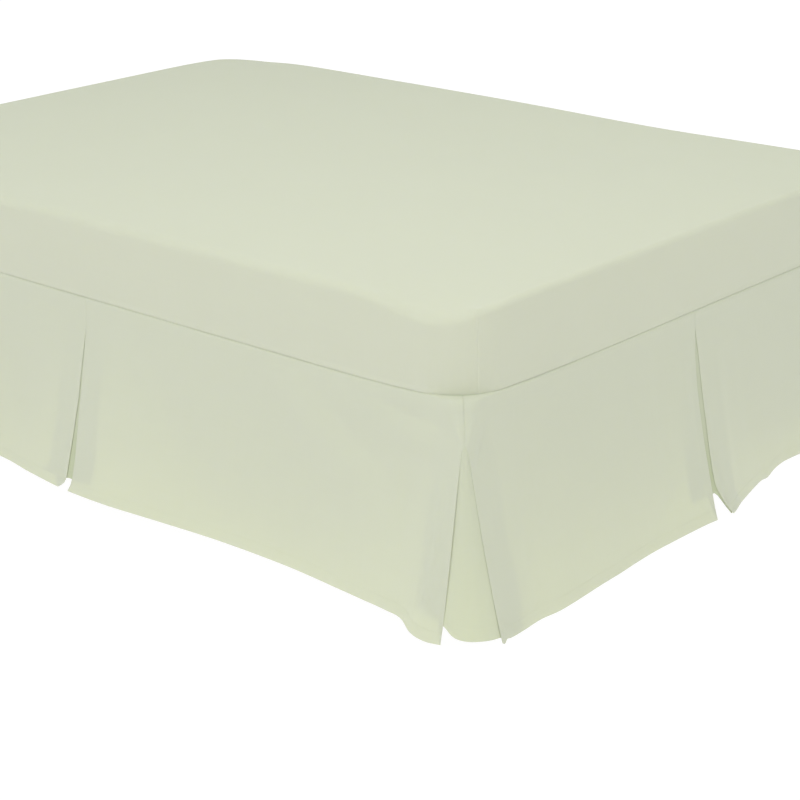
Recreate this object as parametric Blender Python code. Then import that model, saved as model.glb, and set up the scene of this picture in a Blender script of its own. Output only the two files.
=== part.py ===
"""Fitted sheet and box-pleated valance skirt on a mattress and divan base.

Metres, +Z up. The origin is on the floor under the middle of the bed. X runs across the bed,
Y along it: the foot end is at -Y and the head end at +Y. Heights in the tables count from the
seam level, where the mattress meets its base.
"""
import math

import bmesh
import bpy

# Bed sizes
BED_WIDTH = 1.35
BED_LENGTH = 1.90
SEAM_HEIGHT = 0.405
MATTRESS_RADIUS = 0.10
CLEARANCE = 0.0003
SHARP_ANGLE = math.radians(50)

# Cloth
SHEET_THICKNESS = 0.0015
SHEET_CLEARANCE = 0.0005
SKIRT_THICKNESS = 0.001
CROWN_RISE = 0.008
CROWN_START = -0.010
INNER_RING_RADIUS = 0.045
SHEET_STEPS = {"long": 12, "short": 8, "arc": 5}

# Divan base and feet
BASE_TOP = 0.0017
BASE_INSET = 0.012
BASE_EDGE_RADIUS = 0.030
BASE_CORNER_RADIUS = 0.095
BASE_UNDER_BEVEL = 0.006
BASE_STEPS = {"long": 1, "short": 1, "arc": 6}
BASE_EDGE_STEPS = 4
FOOT_RADIUS = 0.028
FOOT_HEIGHT = 0.050
FOOT_INSET = 0.11
FOOT_ROWS = (-0.84, 0.0, 0.84)
FOOT_SIDES = 20

# Outer face of the sheet, from its hem under the mattress, up the wall and onto the top.
# Columns: distance out from the mattress side, height over the seam.
SHEET_RINGS = (
    (-0.030, 0.0000),
    (-0.0135, 0.0000),
    (-0.0040, 0.0040),
    (0.0000, 0.0135),
    (0.0015, 0.0650),
    (0.0000, 0.1220),
    (-0.0045, 0.1395),
    (-0.0150, 0.1520),
    (-0.0320, 0.1575),
    (-0.0900, 0.1580),
    (-0.2200, 0.1580),
    (-0.4000, 0.1580),
    (-0.5700, 0.1580),
)

# Soft dips of the sheet's top and of its rounded edge.
# Columns: place across, place along, reach, depth.
SHEET_DIPS = (
    (0.40, -0.42, 0.26, 0.008),
    (-0.69, -0.86, 0.13, 0.016),
    (-0.30, 0.40, 0.30, 0.004),
    (0.69, 0.88, 0.12, 0.010),
)
DIP_FROM = 0.100
DIP_FULL = 0.156

# Top of the skirt, from the heading under the mattress to below the shoulder.
# Columns: distance out, height, corner radius, turn of the cloth's face in degrees (0 is up,
# 90 is outwards), spacing of the pleat's layers.
SKIRT_SHOULDER = (
    (-0.0220, -0.0009, 0.078, 0, 0.0015),
    (-0.0130, -0.0010, 0.072, 5, 0.0017),
    (-0.0040, -0.0030, 0.062, 38, 0.0022),
    (0.0016, -0.0080, 0.050, 65, 0.0028),
    (0.0040, -0.0150, 0.040, 84, 0.0036),
)

# Levels of the skirt's drop. Columns: share of the drop, corner radius.
SKIRT_LEVELS = (
    (0.07, 0.026),
    (0.145, 0.010),
    (0.34, 0.010),
    (0.55, 0.010),
    (0.78, 0.010),
    (1.00, 0.010),
)
LAYER_SPACING = 0.0040
FLARE_POWER = 1.3

# Hem of each side's front cloth. Columns: place along the side, flare at the hem, drop.
HEM_LEFT = (
    (-0.985, 0.104, 0.387),
    (-0.957, 0.114, 0.385),
    (-0.930, 0.119, 0.376),
    (-0.900, 0.108, 0.363),
    (-0.86, 0.102, 0.362),
    (-0.74, 0.089, 0.362),
    (-0.60, 0.076, 0.363),
    (-0.43, 0.077, 0.363),
    (-0.28, 0.092, 0.362),
    (-0.13, 0.114, 0.358),
    (-0.02, 0.108, 0.362),
    (0.10, 0.094, 0.361),
    (0.22, 0.070, 0.366),
    (0.36, 0.066, 0.366),
    (0.55, 0.084, 0.363),
    (0.72, 0.076, 0.365),
    (0.86, 0.090, 0.367),
    (0.95, 0.104, 0.380),
)
HEM_FOOT = (
    (-0.675, 0.103, 0.391),
    (-0.59, 0.098, 0.391),
    (-0.54, 0.106, 0.389),
    (-0.42, 0.098, 0.390),
    (-0.27, 0.083, 0.393),
    (-0.20, 0.081, 0.393),
    (-0.08, 0.087, 0.392),
    (-0.03, 0.092, 0.392),
    (0.00, 0.105, 0.389),
    (0.08, 0.078, 0.393),
    (0.20, 0.045, 0.398),
    (0.32, 0.026, 0.399),
    (0.46, 0.036, 0.399),
    (0.58, 0.080, 0.393),
    (0.675, 0.104, 0.389),
)
HEM_RIGHT = (
    (-0.95, 0.105, 0.386),
    (-0.84, 0.088, 0.368),
    (-0.66, 0.078, 0.364),
    (-0.48, 0.090, 0.362),
    (-0.30, 0.074, 0.365),
    (-0.12, 0.098, 0.361),
    (0.02, 0.108, 0.361),
    (0.16, 0.086, 0.362),
    (0.34, 0.070, 0.365),
    (0.52, 0.082, 0.363),
    (0.70, 0.094, 0.362),
    (0.86, 0.084, 0.366),
    (0.95, 0.100, 0.380),
)
HEM_HEAD = (
    (-0.675, 0.100, 0.388),
    (-0.48, 0.082, 0.392),
    (-0.26, 0.094, 0.391),
    (-0.04, 0.078, 0.393),
    (0.20, 0.090, 0.391),
    (0.44, 0.080, 0.392),
    (0.675, 0.102, 0.388),
)

# A pleat in the middle of a side: where its opening starts and lies at the hem, half its
# opening there, the share of the drop at which it starts to open, and how far its backing
# hangs back from the front cloth.
PLEAT_LEFT = {"top": -0.003, "hem": -0.0235, "open": 0.0155, "apex": 0.10, "back": 0.014}
PLEAT_FOOT = {"top": 0.000, "hem": -0.0130, "open": 0.0160, "apex": 0.06, "back": 0.014}
PLEAT_RIGHT = {"top": 0.002, "hem": 0.0120, "open": 0.0180, "apex": 0.10, "back": 0.014}
PLEAT_STEPS = (0.0, 0.030, 0.060)
PLEAT_BACKING = (0.0, 0.22, 0.40, 0.50, 0.60, 0.78, 1.0)

# Corner pleats. The front cloths part at this share of the drop, and their folded edges bow
# back from a straight line just below it.
CORNER_APEX = 0.145
CORNER_BOW = 0.0157
CORNER_BUTT = 1.35
SHARP_CORNER = 0.010
CORNER_BACK_RADIUS = 0.058
CORNER_BACK_HANG = 0.022
CORNER_DIAGONAL_HANG = 0.5
BACK_LIFT = 0.009
MIDDLE_LIFT = 0.020
EDGE_GAP = 0.0003

# Points behind a corner's folded edge. Columns: distance from the edge, share of the backing's
# hang on the side that carries it, and on its neighbour.
CORNER_STEPS = (
    (0.000, 0.70, 0.35),
    (0.008, 0.85, 0.22),
    (0.020, 1.00, 0.12),
    (0.033, 0.85, 0.05),
    (0.046, 0.45, 0.00),
    (0.060, 0.00, 0.00),
)

# Each side: its outward direction across (x, y), half the bed across that way and half the
# side's own length, its hem, its pleat, how far its low and high corner edges run past the
# bed's corner at the hem, and whether it carries the backing of its corner pleats.
SIDES = {
    "left": {
        "out": (-1, 0), "across": BED_WIDTH / 2, "half": BED_LENGTH / 2,
        "hem": HEM_LEFT, "pleat": PLEAT_LEFT, "edges": (0.034, 0.030),
        "neighbours": ("foot", "head"), "backs": True,
    },
    "right": {
        "out": (1, 0), "across": BED_WIDTH / 2, "half": BED_LENGTH / 2,
        "hem": HEM_RIGHT, "pleat": PLEAT_RIGHT, "edges": (0.030, 0.028),
        "neighbours": ("foot", "head"), "backs": True,
    },
    "foot": {
        "out": (0, -1), "across": BED_LENGTH / 2, "half": BED_WIDTH / 2,
        "hem": HEM_FOOT, "pleat": PLEAT_FOOT, "edges": (0.023, 0.026),
        "neighbours": ("left", "right"), "backs": False,
    },
    "head": {
        "out": (0, 1), "across": BED_LENGTH / 2, "half": BED_WIDTH / 2,
        "hem": HEM_HEAD, "pleat": None, "edges": (0.028, 0.026),
        "neighbours": ("left", "right"), "backs": False,
    },
}

# Shares of a front cloth's width where its section has a point, from its middle to a corner.
FRONT_SHARES = (0.0, 0.06, 0.18, 0.34, 0.52, 0.72, 0.88, 1.0)

CLOTH_GREEN = (0.655, 0.675, 0.535, 1.0)
TICKING_WHITE = (0.80, 0.79, 0.75, 1.0)
DIVAN_CREAM = (0.62, 0.59, 0.52, 1.0)
FOOT_BLACK = (0.03, 0.03, 0.03, 1.0)


def clear_scene():
    """Start from an empty file."""
    for item in list(bpy.data.objects):
        bpy.data.objects.remove(item, do_unlink=True)


def make_material(name, colour, roughness, metallic=0.0):
    material = bpy.data.materials.new(name)
    material.use_nodes = True
    shader = material.node_tree.nodes["Principled BSDF"]
    shader.inputs["Base Color"].default_value = colour
    shader.inputs["Roughness"].default_value = roughness
    shader.inputs["Metallic"].default_value = metallic
    return material


def add_mesh(name, points, faces, material, height=SEAM_HEIGHT):
    mesh = bpy.data.meshes.new(name)
    mesh.from_pydata(points, [], faces)
    mesh.update()
    mesh.materials.append(material)
    mesh.shade_smooth()
    mesh.set_sharp_from_angle(angle=SHARP_ANGLE)
    item = bpy.data.objects.new(name, mesh)
    item.location = (0.0, 0.0, height)
    bpy.context.scene.collection.objects.link(item)
    return item


def thicken(item, thickness, offset):
    solid = item.modifiers.new("Thickness", "SOLIDIFY")
    solid.thickness = thickness
    solid.offset = offset
    solid.use_even_offset = True


def smooth_step(share):
    share = min(1.0, max(0.0, share))
    return share * share * (3.0 - 2.0 * share)


def read_table(rows, place):
    """All later columns of a table at a place, on a smooth curve through its rows."""
    place = min(rows[-1][0], max(rows[0][0], place))
    last = len(rows) - 2
    k = next(i for i in range(last + 1) if place <= rows[i + 1][0])
    before, low, high, after = rows[max(k - 1, 0)], rows[k], rows[k + 1], rows[min(k + 2, last + 1)]
    span = high[0] - low[0]
    t = (place - low[0]) / span
    values = []
    for column in range(1, len(low)):
        rise_low = span * (high[column] - before[column]) / (high[0] - before[0])
        rise_high = span * (after[column] - low[column]) / (after[0] - low[0])
        values.append(
            (2 * t**3 - 3 * t**2 + 1) * low[column]
            + (t**3 - 2 * t**2 + t) * rise_low
            + (3 * t**2 - 2 * t**3) * high[column]
            + (t**3 - t**2) * rise_high
        )
    return values


def ring_points(half_x, half_y, radius, steps):
    """Points round a rectangle with rounded corners, anticlockwise from its right side."""
    points = []
    arc_steps = steps["arc"]
    corners = ((1, 1, 0), (-1, 1, 90), (-1, -1, 180), (1, -1, 270))
    sides = ((half_x, steps["short"]), (half_y, steps["long"])) * 2
    for (sign_x, sign_y, start), (half_side, side_steps) in zip(corners, sides):
        centre_x = sign_x * (half_x - radius)
        centre_y = sign_y * (half_y - radius)
        for k in range(arc_steps + 1):
            angle = math.radians(start + 90 * k / arc_steps)
            points.append((centre_x + radius * math.cos(angle), centre_y + radius * math.sin(angle)))
        heading = math.radians(start + 180)
        end_x, end_y = points[-1]
        for k in range(1, side_steps):
            run = 2 * (half_side - radius) * k / side_steps
            points.append((end_x + run * math.cos(heading), end_y + run * math.sin(heading)))
    return points


def close_rings(count, rings):
    """Faces between rings of the same number of points, from the lowest ring up."""
    faces = []
    for ring in range(rings - 1):
        for k in range(count):
            here = ring * count + k
            after = ring * count + (k + 1) % count
            faces.append((here, after, after + count, here + count))
    return faces


def dip_depth(x, y, height):
    """How far the top sinks below its plain height at a place."""
    sink = 0.0
    for place_x, place_y, reach, depth in SHEET_DIPS:
        distance = math.hypot(x - place_x, y - place_y) / reach
        sink += depth * math.exp(-distance * distance)
    return sink * smooth_step((height - DIP_FROM) / (DIP_FULL - DIP_FROM))


def crown_rise(x, y):
    across = min(1.0, abs(x) / (BED_WIDTH / 2))
    along = min(1.0, abs(y) / (BED_LENGTH / 2))
    return CROWN_RISE * (1 - across**4) * (1 - along**6)


def bed_shell():
    """The sheet's outer face: points in rings, faces, and the number of points in a ring."""
    points = []
    for out, height in SHEET_RINGS:
        radius = max(INNER_RING_RADIUS, MATTRESS_RADIUS + out)
        ring = ring_points(BED_WIDTH / 2 + out, BED_LENGTH / 2 + out, radius, SHEET_STEPS)
        for x, y in ring:
            rise = crown_rise(x, y) if out < CROWN_START and height > DIP_FROM else 0.0
            points.append((x, y, height + rise - dip_depth(x, y, height)))
    count = len(ring)
    faces = close_rings(count, len(SHEET_RINGS))
    faces.append(tuple(range(len(points) - count, len(points))))
    return points, faces, count


def build_sheet(material):
    points, faces, _ = bed_shell()
    sheet = add_mesh("fitted_sheet", points, faces, material)
    thicken(sheet, SHEET_THICKNESS, -1)


def build_mattress(material):
    """The block inside the sheet, an even distance in from the sheet's outer face."""
    points, faces, count = bed_shell()
    shell = bmesh.new()
    for point in points:
        shell.verts.new(point)
    shell.verts.ensure_lookup_table()
    for face in faces:
        shell.faces.new([shell.verts[k] for k in face])
    shell.normal_update()
    inset = SHEET_THICKNESS + SHEET_CLEARANCE
    inner = [vert.co - vert.normal * vert.calc_shell_factor() * inset for vert in shell.verts]
    shell.free()
    faces.append(tuple(reversed(range(count))))
    add_mesh("mattress", inner, faces, material)


def skirt_levels():
    """Levels of the skirt from heading to hem: a shoulder row or a share of the drop."""
    levels = [{"row": row, "share": 0.0} for row in SKIRT_SHOULDER]
    levels += [{"row": None, "share": share, "radius": radius} for share, radius in SKIRT_LEVELS]
    return levels


def layer_spacing(level):
    return level["row"][4] if level["row"] else LAYER_SPACING


def corner_radius(level):
    return level["row"][2] if level["row"] else level["radius"]


def section_point(side, place, level):
    """Distance out, height and turn of the front cloth at a place."""
    if level["row"]:
        out, height, _, turn, _ = level["row"]
        return out, height, math.radians(turn)
    flare, drop = read_table(side["hem"], place)
    start_out, start_height = SKIRT_SHOULDER[-1][:2]
    share = level["share"]
    out = start_out + (flare - start_out) * share**FLARE_POWER
    return out, start_height + (-drop - start_height) * share, math.radians(90)


def corner_reach(side, end, level):
    """Distance from the bed's middle to where a side's front line meets its neighbour's."""
    neighbour, own_end = corner_neighbour(side, end)
    return side["half"] + section_point(neighbour, own_end * neighbour["half"], level)[0]


def corner_neighbour(side, end):
    neighbour = SIDES[side["neighbours"][0 if end < 0 else 1]]
    return neighbour, side["out"][0] + side["out"][1]


def cloth_point(side, place, level, depth, radius=None, lift=0.0):
    """A point of the cloth, some depth behind its front, brought round a corner near one.

    All layers turn about one centre, so they stay the same distance apart round the corner.
    """
    out, height, turn = section_point(side, place, level)
    inward = depth * math.sin(turn)
    height += lift - depth * math.cos(turn)
    end = -1 if place < 0 else 1
    radius = radius or corner_radius(level)
    reach = corner_reach(side, end, level)
    to_corner = reach - abs(place)
    if to_corner < radius:
        angle = math.radians(45) * (1 - max(to_corner, 0.0) / radius)
        place = end * (reach - radius + (radius - inward) * math.sin(angle))
        out -= radius - (radius - inward) * math.cos(angle)
    else:
        out -= inward
    out_x, out_y = side["out"]
    across = side["across"] + out
    return (out_x * across + abs(out_y) * place, out_y * across + abs(out_x) * place, height)


def fold_butt(level):
    """Distance from a folded edge's last flat point to the line where two edges meet."""
    return layer_spacing(level) / 2 + SKIRT_THICKNESS / 2 + EDGE_GAP


def corner_edge(side, end, level):
    """Place of the front cloth's folded edge at a corner."""
    reach = corner_reach(side, end, level)
    closed = reach - fold_butt(level) * CORNER_BUTT
    if level["share"] <= CORNER_APEX:
        return end * closed
    apex = {"row": None, "share": CORNER_APEX, "radius": SHARP_CORNER}
    start = corner_reach(side, end, apex) - fold_butt(level) * CORNER_BUTT
    hem_edge = side["half"] + side["edges"][0 if end < 0 else 1]
    share = (level["share"] - CORNER_APEX) / (1 - CORNER_APEX)
    bow = CORNER_BOW * share**0.3 * (1 - share) ** 1.5
    return end * (start * (1 - share) + hem_edge * share - bow)


def pleat_edges(side, level):
    """Places of the two folded edges of a pleat in the middle of a side."""
    pleat = side["pleat"]
    opened = max(0.0, (level["share"] - pleat["apex"]) / (1 - pleat["apex"]))
    middle = pleat["top"] + (pleat["hem"] - pleat["top"]) * level["share"]
    half = fold_butt(level) * (1 - opened) + pleat["open"] * opened
    return middle - half, middle + half


def spread(start, end, shares):
    return [start + (end - start) * share for share in shares]


def folded_end(side, edge, inward, steps, level):
    """From behind the front cloth to its folded edge: the return and the turn of the fold."""
    gap = layer_spacing(level)
    points = [cloth_point(side, edge + inward * step, level, gap) for step in reversed(steps)]
    points.append(cloth_point(side, edge - inward * gap / 2, level, gap / 2))
    return points


def pleat_section(side, level):
    """The middle pleat: return, backing and return, with the turns between them."""
    gap = layer_spacing(level)
    low, high = pleat_edges(side, level)
    middle = (low + high) / 2
    reach = high - middle + PLEAT_STEPS[-1]
    hang = side["pleat"]["back"] * max(0.0, level["share"] - side["pleat"]["apex"])
    points = folded_end(side, low, -1, PLEAT_STEPS, level)[::-1]
    points.append(cloth_point(side, middle - reach - gap / 2, level, 1.5 * gap))
    for place in spread(middle - reach, middle + reach, PLEAT_BACKING):
        swing = math.cos(math.pi / 2 * (place - middle) / reach) ** 2
        lift = MIDDLE_LIFT * level["share"] * swing
        points.append(cloth_point(side, place, level, 2 * gap + hang * swing, lift=lift))
    points.append(cloth_point(side, middle + reach + gap / 2, level, 1.5 * gap))
    return points + folded_end(side, high, 1, PLEAT_STEPS, level)


def backing_half(side, end, level, column, radius, opened):
    """One side's half of a corner pleat's backing, from the corner outwards."""
    butt = fold_butt(level) * CORNER_BUTT
    width = CORNER_STEPS[-1][0]
    reach = corner_reach(side, end, level)
    full = reach - abs(corner_edge(side, end, level)) + width
    points = []
    for row in ((-butt, CORNER_DIAGONAL_HANG, CORNER_DIAGONAL_HANG),) + CORNER_STEPS:
        to_corner = full * (butt + row[0]) / (butt + width)
        depth = 2 * layer_spacing(level) + CORNER_BACK_HANG * opened * row[column]
        lift = BACK_LIFT * level["share"] * (1 - (max(row[0], 0.0) / width) ** 2)
        points.append(cloth_point(side, end * (reach - to_corner), level, depth, radius, lift))
    return points


def corner_backing(side, end, level):
    """The backing of a corner pleat, from behind the neighbour round to this side's return."""
    neighbour, own_end = corner_neighbour(side, end)
    opened = smooth_step((level["share"] - CORNER_APEX) / (1 - CORNER_APEX))
    radius = corner_radius(level)
    radius += (CORNER_BACK_RADIUS - radius) * opened
    far = backing_half(neighbour, own_end, level, 2, radius, opened)
    near = backing_half(side, end, level, 1, radius, opened)
    corner = tuple((a + b) / 2 for a, b in zip(far[0], near[0]))
    return far[:0:-1] + [corner] + near[1:]


def side_end(side, end, level):
    """All that lies behind one end of a front cloth, in order up to its folded edge."""
    edge = corner_edge(side, end, level)
    steps = [row[0] for row in CORNER_STEPS]
    points = []
    if side["backs"]:
        gap = layer_spacing(level)
        points += corner_backing(side, end, level)
        turn = edge - end * (steps[-1] + gap / 2)
        points.append(cloth_point(side, turn, level, 1.5 * gap))
    return points + folded_end(side, edge, -end, steps, level)


def front_places(inner, edge, shares):
    """Places along a front cloth from its inner end to its folded edge at a corner."""
    end = 1 if edge > 0 else -1
    near = [edge - end * row[0] for row in reversed(CORNER_STEPS)]
    return spread(inner, near[0] - end * CORNER_STEPS[2][0], shares) + near


def skirt_section(side, level):
    """The whole back-and-forth line of one side's cloth at one level."""
    low = corner_edge(side, -1, level)
    high = corner_edge(side, 1, level)
    if side["pleat"]:
        pleat_low, pleat_high = pleat_edges(side, level)
        middle = pleat_section(side, level)
    else:
        pleat_low = pleat_high = 0.0
        middle = []
    low_places = front_places(pleat_low, low, FRONT_SHARES)[::-1]
    high_places = front_places(pleat_high, high, FRONT_SHARES)
    if not side["pleat"]:
        high_places = high_places[1:]
    points = side_end(side, -1, level)
    points += [cloth_point(side, place, level, 0.0) for place in low_places]
    points += middle
    points += [cloth_point(side, place, level, 0.0) for place in high_places]
    return points + side_end(side, 1, level)[::-1]


def build_skirt(name, side, material):
    sections = [skirt_section(side, level) for level in skirt_levels()]
    count = len(sections[0])
    points = [point for section in sections for point in section]
    faces = []
    flip = side["out"] in ((1, 0), (0, -1))
    for row in range(len(sections) - 1):
        for k in range(count - 1):
            here = row * count + k
            face = (here, here + 1, here + count + 1, here + count)
            faces.append(face[::-1] if flip else face)
    skirt = add_mesh(name, points, faces, material)
    thicken(skirt, SKIRT_THICKNESS, 0)


def build_base(material):
    """Box with a rounded upper edge, so that the skirt's heading has room on it."""
    bottom = FOOT_HEIGHT + CLEARANCE - SEAM_HEIGHT
    profile = [
        (-BASE_INSET - BASE_UNDER_BEVEL, bottom),
        (-BASE_INSET, bottom + BASE_UNDER_BEVEL),
    ]
    for k in range(BASE_EDGE_STEPS + 1):
        angle = math.radians(90 * k / BASE_EDGE_STEPS)
        out = -BASE_INSET - BASE_EDGE_RADIUS * (1 - math.cos(angle))
        profile.append((out, BASE_TOP - BASE_EDGE_RADIUS * (1 - math.sin(angle))))
    points = []
    for out, height in profile:
        radius = BASE_CORNER_RADIUS + BASE_INSET + out
        ring = ring_points(BED_WIDTH / 2 + out, BED_LENGTH / 2 + out, radius, BASE_STEPS)
        points += [(x, y, height) for x, y in ring]
    count = len(ring)
    faces = close_rings(count, len(profile))
    faces.append(tuple(reversed(range(count))))
    faces.append(tuple(range(len(points) - count, len(points))))
    add_mesh("divan_base", points, faces, material)


def build_feet(material):
    number = 0
    for y in FOOT_ROWS:
        for sign in (-1, 1):
            number += 1
            x = sign * (BED_WIDTH / 2 - FOOT_INSET)
            centre = (x, y, FOOT_HEIGHT / 2)
            bpy.ops.mesh.primitive_cylinder_add(
                vertices=FOOT_SIDES, radius=FOOT_RADIUS, depth=FOOT_HEIGHT, location=centre
            )
            foot = bpy.context.object
            foot.name = f"foot_{number}"
            foot.data.materials.append(material)
            foot.data.shade_smooth()
            foot.data.set_sharp_from_angle(angle=SHARP_ANGLE)


def main():
    clear_scene()
    cloth = make_material("pale_green_cloth", CLOTH_GREEN, 0.85)
    ticking = make_material("white_ticking", TICKING_WHITE, 0.9)
    divan = make_material("cream_divan_cloth", DIVAN_CREAM, 0.9)
    plastic = make_material("black_plastic", FOOT_BLACK, 0.5)
    build_sheet(cloth)
    build_mattress(ticking)
    build_base(divan)
    build_feet(plastic)
    for name, side in SIDES.items():
        build_skirt(f"skirt_{name}", side, cloth)


main()
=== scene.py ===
"""Looks of a fitted valance sheet on its mattress and divan base.

Metres, +Z up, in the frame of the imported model. X runs across the bed, Y along it: the foot end
is at -Y and the head end at +Y. Heights in the tables count from the seam level, where the
mattress meets its base.
"""
from itertools import accumulate, product
from math import cos, dist, exp, hypot, pi, radians, sin
from types import SimpleNamespace

import bpy
from mathutils import Matrix, Vector, noise


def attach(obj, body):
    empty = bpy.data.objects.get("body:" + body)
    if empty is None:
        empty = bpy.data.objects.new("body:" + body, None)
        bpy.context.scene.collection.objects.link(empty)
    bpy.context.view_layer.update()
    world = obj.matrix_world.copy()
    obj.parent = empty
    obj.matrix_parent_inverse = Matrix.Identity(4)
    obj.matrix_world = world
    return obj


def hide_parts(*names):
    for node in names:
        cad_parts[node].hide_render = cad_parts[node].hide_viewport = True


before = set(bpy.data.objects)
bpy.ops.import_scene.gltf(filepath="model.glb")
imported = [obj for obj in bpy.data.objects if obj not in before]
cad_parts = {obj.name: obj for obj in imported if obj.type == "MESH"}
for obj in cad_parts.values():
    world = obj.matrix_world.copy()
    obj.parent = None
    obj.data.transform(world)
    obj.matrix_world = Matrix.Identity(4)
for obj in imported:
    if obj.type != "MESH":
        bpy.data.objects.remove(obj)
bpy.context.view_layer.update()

# Bed sizes
BED_WIDTH = 1.35
BED_LENGTH = 1.90
SEAM_HEIGHT = 0.405
MATTRESS_RADIUS = 0.10
SHARP_ANGLE = radians(50)

# Fitted sheet
SHEET_THICKNESS = 0.0006
MATTRESS_INSET = 0.0016
TOP_HEIGHT = 0.158
WALL_BOW = 0.0015
CROWN_RISE = 0.008
INNER_RING_RADIUS = 0.045
SHEET_STEPS = {"long": 148, "short": 100, "arc": 32}
MATTRESS_STEPS = {"long": 60, "short": 40, "arc": 16}

# Hem of the sheet, from under the mattress to the foot of its wall. Columns: mark, distance out
# from the mattress side, height over the seam.
SHEET_HEM = (
    (0, -0.03, 0.0),
    (1, -0.013, 0.0),
    (2, -0.0003, 0.0),
    (3, 0.0, 0.0006),
)

# Top of the sheet, from the end of its rounded edge inwards. Columns: mark, distance out.
SHEET_TOP = (
    (9, -0.055),
    (10, -0.13),
    (11, -0.3),
    (12, -0.46),
    (13, -0.62),
)

# Marks of the sheet's profile: the last one under the mattress, the foot and the top of its
# wall, where its crown starts to rise, the middle and the end of its rounded edge and the first
# row of its top. Parts: steps between marks.
HEM_END = 2
WALL_FOOT = 3
WALL_TOP = 5
CROWN_FOOT = 6
EDGE_MIDDLE = 7
EDGE_END = 8
TOP_START = 9
SHEET_PARTS = (2, 2, 4, 6, 6, 4, 4, 4, 3, 6, 9, 9, 9)
MATTRESS_PARTS = (1, 1, 2, 3, 3, 2, 2, 2, 2, 3, 4, 4, 4)

# Radius of the mattress's upper edge on each side, and where it slumps beside one seam, on
# the part that faces left.
EDGE_RADII = {"left": 0.018, "right": 0.014, "foot": 0.012, "head": 0.015}
SLUMPED_RADIUS = 0.024
SLUMP_FROM = -0.70
SLUMP_RUN = 0.14
SLUMP_END = 0.016
SLUMP_FACING = -0.1

# Soft dips of the sheet's top and of its rounded edge.
# Columns: place across, place along, reach, depth.
SHEET_DIPS = (
    (0.38, -0.4, 0.29, 0.014),
    (-0.7, -0.87, 0.09, 0.016),
    (-0.3, 0.4, 0.3, 0.006),
    (0.69, 0.88, 0.12, 0.01),
)
DIP_FROM = 0.100
DIP_FULL = 0.156

# Slow unevenness of the stretched wall and top: heights, how often it repeats, and the marks
# over which the wall's fades out before the end of the rounded edge.
WAVE_HEIGHT = 0.0008
WAVE_LEVEL = 0.6
WAVE_SCALE = 3.1
WAVE_SCALE_UP = 7.0
TOP_WAVE_HEIGHT = 0.0004
TOP_WAVE_SCALE = 6
WAVE_FADE = 1.5

# The cloth over the rounded edge, past the edge's own width, as a share of its radius.
EDGE_CLOTH = 0.57

# Corner seams of the sheet: the corner's signs, the turn of its seam round the corner from
# the side that faces +X, in degrees. Their relief rises from nothing at the mark SEAM_START.
SHEET_SEAMS = ((1, 1, 42.0), (-1, 1, 136.0), (-1, -1, 240.0), (1, -1, 318.0))
SEAM_GROOVE = 0.0003
SEAM_GROOVE_WIDTH = 0.0015
SEAM_WELT = 0.0004
SEAM_WELT_WIDTH = 0.0060
SEAM_TURNS = (-1.6, -1.0, -0.45, 0.0, 0.45, 1.0, 1.6)
SEAM_TOP = 0.152
SEAM_FADE = 0.012
SEAM_START = 1.0
SEAM_RISE = 1.5

# The seam level rises at one corner, where the elastic draws the sheet up. Place across, place
# along, reach, rise, and how far up the wall and down the drop it dies away.
SEAM_LIFT = (-0.675, -0.950, 0.150, 0.0080)
LIFT_WALL = 0.090
LIFT_DROP = 0.30

# Small gathers that the hidden elastic draws in round the sheet's lower corners: their height
# and length, their reach up the wall and from the corner, how unevenly they are spaced, and
# the marks at which and over which they rise.
GATHER_HEIGHT = 0.0004
GATHER_LENGTH = 0.021
GATHER_REACH = 0.050
GATHER_SPREAD = 0.16
GATHER_DRIFT = 5
GATHER_DRIFT_SCALE = 9
GATHER_START = 1.2
GATHER_RISE = 1.2

# Top of the skirt, from the heading under the mattress to below the shoulder.
# Columns: mark, distance out, height, corner radius, turn of the cloth's face in degrees (0 is
# up, 90 is outwards).
SKIRT_SHOULDER = (
    (0, -0.022, -0.0003, 0.078, 0),
    (1, -0.012, -0.0003, 0.072, 2),
    (2, -0.0004, -0.0003, 0.064, 12),
    (3, 0.0034, -0.0038, 0.053, 60),
    (4, 0.0047, -0.015, 0.04, 84),
)
SHOULDER_PARTS = 14
SHOULDER_TURN = 84
SHOULDER_SETTLE = 0.08
SKIRT_THICKNESS = 0.0004
LAYER_SPACING = 0.0006
FLARE_POWER = 1.3

# Levels down the drop, as shares of it: close below the shoulder, one step apart, and close
# again round the hem's stitches.
UPPER_SHARES = (0.012, 0.028, 0.046, 0.066, 0.088, 0.112, 0.136, 0.16)
DROP_STEP = 0.0205
DROP_END = 0.94
HEM_SHARES = (0.9435, 0.948, 0.966, 0.984, 0.996, 1.0)
STITCH_SHARE = 0.945
SHARP_CORNER = 0.010
SHARP_FROM = 0.16
HEM_DEPTH = 0.020
HEM_STEP = 0.0002
HEM_STEP_RUN = 0.002

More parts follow.
